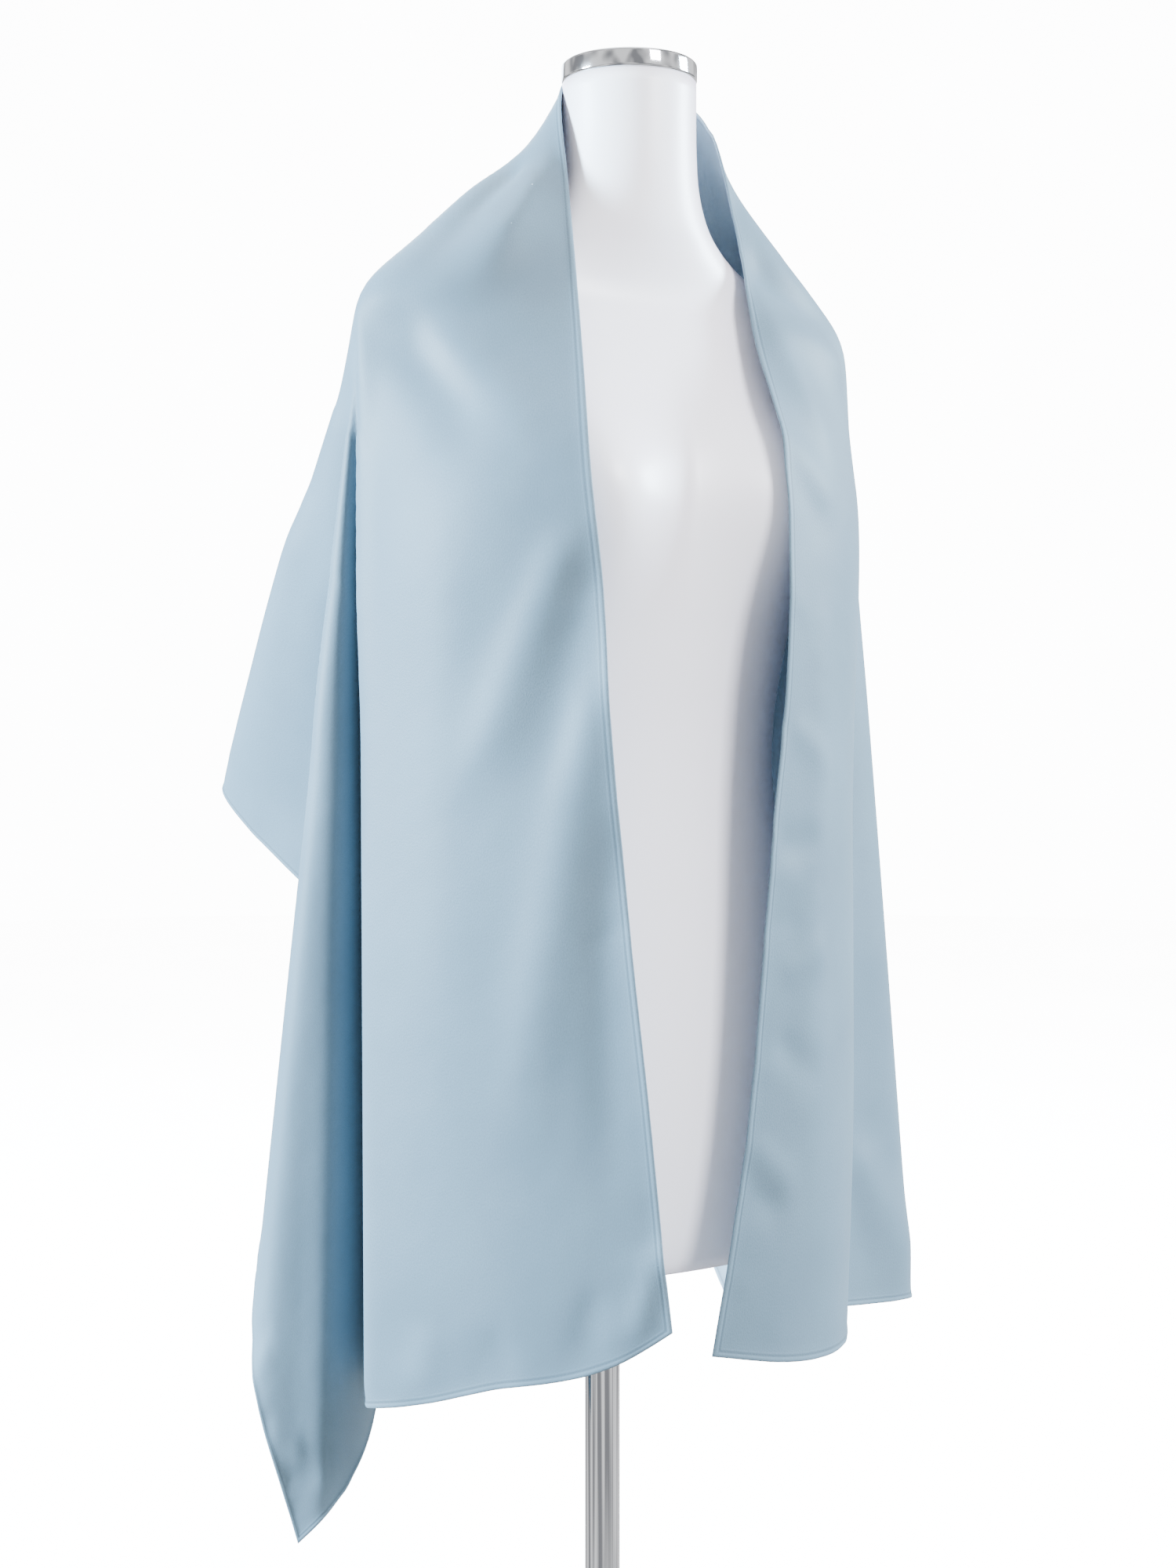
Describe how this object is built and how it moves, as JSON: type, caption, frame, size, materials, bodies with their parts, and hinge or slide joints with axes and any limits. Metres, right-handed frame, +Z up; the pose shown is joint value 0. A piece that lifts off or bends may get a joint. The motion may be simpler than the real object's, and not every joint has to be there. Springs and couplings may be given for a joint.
{
  "type": "evening stole draped on a limbless dress form with its stand",
  "caption": "Long satin evening stole hung over both shoulders of a limbless dress form, with deep folds at the sides and back and an open front.",
  "frame": {"origin": "centre of the underside of the base plate, on the axis of the pole", "axes": "+Z up along the pole, -Y out of the front of the dress form, +X to the form's left"},
  "size_m": [0.519, 0.4438, 1.1528],
  "materials": {
    "satin": "pale blue-grey polyester satin, soft sheen on the outside and duller on the inside",
    "form_gloss": "smooth white gloss moulding",
    "chrome": "polished chrome plate"
  },
  "bodies": {
    "root": {"stole_front_right": "satin", "stole_side_right": "satin", "stole_back_right": "satin", "stole_neck": "satin", "stole_back": "satin", "stole_back_left": "satin", "stole_side_left": "satin", "stole_front_left": "satin", "hem_neck_edge": "satin", "hem_outer_edge": "satin", "hem_right_end": "satin", "hem_left_end": "satin", "form_body": "form_gloss", "neck_cap": "chrome", "pole_collar": "chrome", "pole": "chrome", "base_plate": "chrome"}
  },
  "joints": []
}
